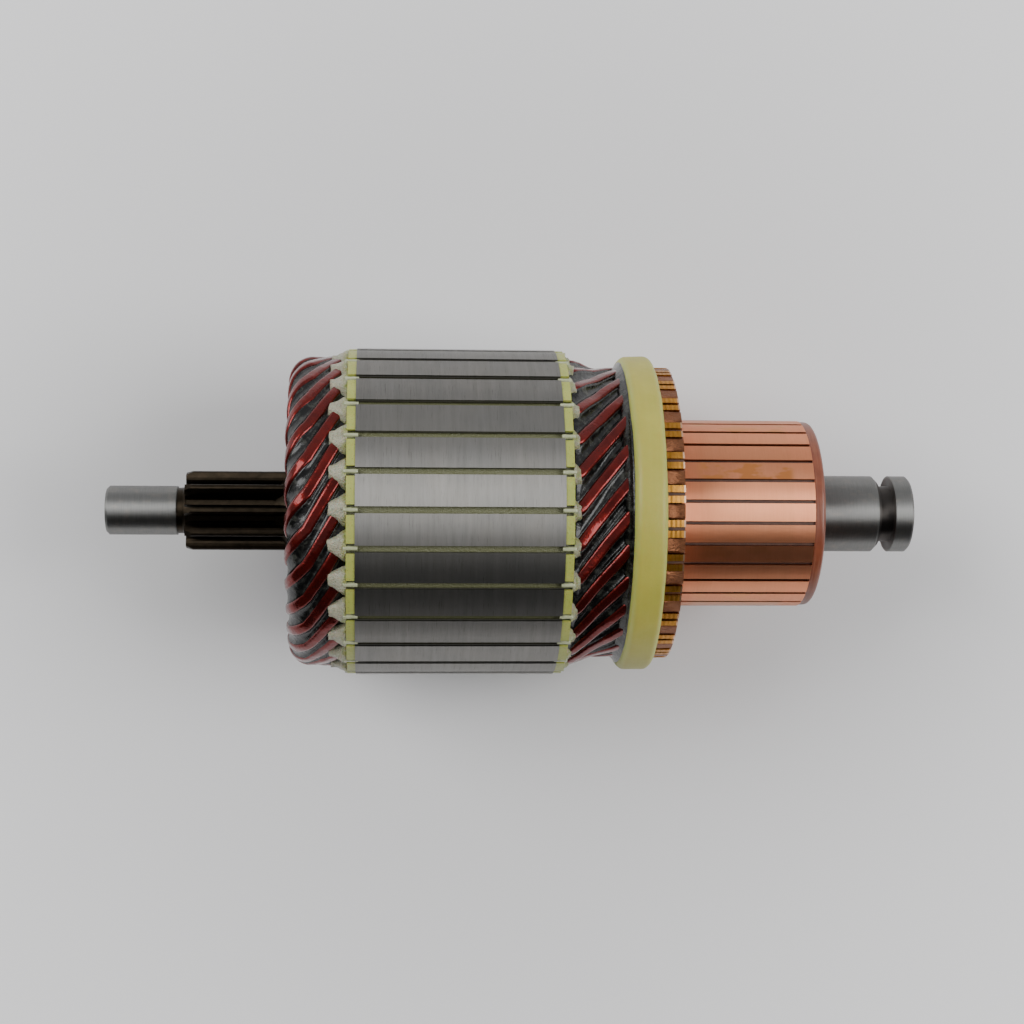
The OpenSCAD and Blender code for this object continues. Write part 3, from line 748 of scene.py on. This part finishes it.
def make_papers(cuff_material, strip_material):
    for k in range(SLOTS):
        angle = k * PITCH
        make_cuff(f"cuff_{k + 1:02d}", angle, 3.7 * k, RING_X0 + 0.05 * MM, 3.1 * MM, -1,
                  3.0 * MM, 1.45 * MM, cuff_material)
        make_cuff(f"lip_{k + 1:02d}", angle, 3.7 * k + 50, RING_X1 - 0.05 * MM, 1.3 * MM, 1,
                  2.1 * MM, 1.6 * MM, cuff_material)
        make_mouth_strip(f"mouth_a_{k + 1:02d}", angle, 1.9 * k, RING_X0 - 0.5 * MM, CORE_X0 + 0.5 * MM,
                         strip_material)
        make_mouth_strip(f"mouth_b_{k + 1:02d}", angle, 1.9 * k + 30, RING_X1 + 0.4 * MM, CORE_X1 - 0.5 * MM,
                         strip_material)


def revolve(name, profile, seed, wave, material, around=360):
    """A closed ring from a profile of (x, r), with a hand-made waviness."""
    rings = []
    for k in range(around):
        angle = math.tau * k / around
        spin = Vector((math.sin(angle), math.cos(angle), seed))
        ring = []
        for x, r in profile:
            blob = noise.noise_vector(spin * 2.2 + Vector((x * 180, 0, r * 180)))
            fine = noise.noise_vector(spin * 9.0 + Vector((x * 500, 0, r * 500)))
            shift = blob * wave + fine * (0.35 * wave)
            ring.append(place(x + shift.x, r + shift.y, angle))
        rings.append(ring)
    points, faces = sweep(rings, closed=True)
    return new_mesh(name, points, faces, material)


def make_band(material, fillet_material):
    """Banding ring with hand-brushed shoulders, and the resin bead along its edge, whose near-black resin is
    partly painted shade there.
    """
    inner = RISER_R - 0.2 * MM
    top = BAND_R - 0.12 * MM
    x0, x1 = BAND_X0 + 0.12 * MM, BAND_X1 - 0.12 * MM
    profile = [(x1, inner), (x0 + 0.2 * MM, inner)]
    for cx, sign, radius in ((x0 + 1.5 * MM, -1, 1.5 * MM), (x1 - 1.25 * MM, 1, 1.25 * MM)):
        turns = [math.pi / 2 * i / 6 for i in range(7)]
        if sign > 0:
            turns.reverse()
        for t in turns:
            profile.append((cx + sign * radius * math.cos(t), top - radius + radius * math.sin(t)))
    band = revolve("band", profile, 4.0, 0.14 * MM, material)
    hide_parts("banding_ring")
    x = BAND_X0
    bead = [(x + 0.6 * MM, inner - 0.8 * MM), (x - 1.5 * MM, inner - 0.9 * MM), (x - 1.2 * MM, inner - 0.25 * MM),
            (x - 0.6 * MM, inner + 0.1 * MM), (x - 0.15 * MM, inner + 0.55 * MM), (x + 0.1 * MM, inner + 1.0 * MM),
            (x + 0.6 * MM, inner + 0.9 * MM)]
    # the bead takes the near-black resin, partly real resin and partly painted shade along the band's edge
    revolve("band_bead", bead, 9.0, 0.22 * MM, fillet_material)


# ---------------------------------------------------------------- camera, light and floor

FOCAL_PX = 1900.0
IMAGE_PX = 1024.0
CAMERA_DISTANCE = 353.06 * MM
AIM_X = 67.84 * MM
YAW = math.radians(3.96)
ROLL = math.radians(0.28)
SWING = math.radians(0.5)


def make_camera():
    data = bpy.data.cameras.new("camera")
    camera = bpy.data.objects.new("camera", data)
    bpy.context.scene.collection.objects.link(camera)
    data.sensor_width = 36.0
    data.lens = 36.0 * FOCAL_PX / IMAGE_PX
    data.clip_start = 0.01
    right = Vector((math.cos(YAW), 0, math.sin(YAW)))
    back = Vector((-math.sin(YAW), 0, math.cos(YAW)))
    up = Vector((0, 1, 0))
    roll_right = right * math.cos(ROLL) + up * math.sin(ROLL)
    roll_up = up * math.cos(ROLL) - right * math.sin(ROLL)
    spin = Matrix.Rotation(SWING, 4, "X")
    place_at = Vector((AIM_X, 0, 0)) + back * CAMERA_DISTANCE
    pose = Matrix((roll_right, roll_up, back)).transposed().to_4x4()
    pose.translation = place_at
    camera.matrix_world = spin @ pose
    bpy.context.scene.camera = camera


def make_floor():
    p = Paint("floor_paper", Roughness=0.9)
    p.shader.inputs["Specular IOR Level"].default_value = 0.1
    # painted shade: the floor is painted darker near the armature and paler far from it, for the light that the
    # armature and the camera overhead keep off it
    offset = p.vector("SUBTRACT", p.mm, (68.0, 0.0, 0.0))
    length = p.add("ShaderNodeVectorMath", operation="LENGTH")
    p.link(offset, length.inputs[0])
    floor_shade = p.colour(p.step(length.outputs["Value"], 60.0, 170.0), (0.78, 0.775, 0.78), (0.97, 0.965, 0.97))
    p.set(Base_Color=floor_shade)
    size = 3.0
    mesh = bpy.data.meshes.new("floor")
    level = CAD_BOX[0][2]
    corners = [(-size, -size, level), (size, -size, level), (size, size, level), (-size, size, level)]
    mesh.from_pydata(corners, [], [(0, 1, 2, 3)])
    mesh.materials.append(p.material)
    floor = bpy.data.objects.new("floor", mesh)
    bpy.context.scene.collection.objects.link(floor)


def make_world():
    """Soft white room, with a dark side towards -Y that the round steel mirrors as a band."""
    world = bpy.data.worlds.new("studio")
    bpy.context.scene.world = world
    world.use_nodes = True
    tree = world.node_tree
    nodes, links = tree.nodes, tree.links
    background = nodes["Background"]
    coords = nodes.new("ShaderNodeTexCoord")
    split = nodes.new("ShaderNodeSeparateXYZ")
    links.new(coords.outputs["Generated"], split.inputs[0])

    def math_node(operation, a, b):
        node = nodes.new("ShaderNodeMath")
        node.operation = operation
        for value, socket in ((a, node.inputs[0]), (b, node.inputs[1])):
            if isinstance(value, bpy.types.NodeSocket):
                links.new(value, socket)
            else:
                socket.default_value = value
        return node.outputs[0]

    def step(value, low, high):
        node = nodes.new("ShaderNodeMapRange")
        node.interpolation_type = "SMOOTHSTEP"
        links.new(value, node.inputs["Value"])
        node.inputs["From Min"].default_value = low
        node.inputs["From Max"].default_value = high
        return node.outputs["Result"]

    # tilt from overhead towards -Y, in radians: 0 overhead, pi / 2 level
    tilt = math_node("ARCTAN2", math_node("MULTIPLY", split.outputs["Y"], -1.0), split.outputs["Z"])
    dark = math_node("MULTIPLY", step(tilt, 0.36, 0.55), math_node("SUBTRACT", 1.0, step(tilt, 1.75, 1.95)))
    level = math_node("ADD", 0.38, math_node("MULTIPLY", step(math_node("MULTIPLY", tilt, -1.0), 0.2, 1.0), 0.35))
    level = math_node("SUBTRACT", level, math_node("MULTIPLY", dark, 0.32))
    path = nodes.new("ShaderNodeLightPath")
    level = math_node("MULTIPLY", level, math_node("SUBTRACT", 1.0, path.outputs["Is Camera Ray"]))
    level = math_node("ADD", level, math_node("MULTIPLY", path.outputs["Is Camera Ray"], 0.8))
    background.inputs["Color"].default_value = (0.97, 0.98, 1.0, 1.0)
    links.new(level, background.inputs["Strength"])


def make_lights():
    def area(name, place_at, size, energy):
        data = bpy.data.lights.new(name, "AREA")
        data.shape = "RECTANGLE"
        data.size, data.size_y = size
        data.energy = energy
        light = bpy.data.objects.new(name, data)
        bpy.context.scene.collection.objects.link(light)
        light.location = place_at
        light.rotation_euler = (Vector((0.068, 0, 0)) - Vector(place_at)).to_track_quat("-Z", "Y").to_euler()

    area("left", (-0.62, 0.30, 0.72), (0.55, 0.65), 7.0)
    area("right", (0.76, 0.02, 0.72), (0.55, 0.65), 7.0)


# ---------------------------------------------------------------- scene

make_camera()
make_floor()
make_world()
make_lights()

paints = {"core_stack": core_steel(), "drive_end_ring": fibre(), "slot_papers": paper(),
          "commutator_bars": copper(), "mica_strips": mica(), "commutator_moulding": phenolic(),
          "banding_ring": epoxy(), "shaft": shaft_steel()}
paints["commutator_end_ring"] = paints["drive_end_ring"]
for node, material in paints.items():
    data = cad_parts[node].data
    data.materials.clear()
    data.materials.append(material)

make_hairpins(enamel(), bar_copper())
glass = resin()
make_resin(glass)
make_papers(crumpled_paper(), mouth_resin())
make_band(paints["banding_ring"], glass)
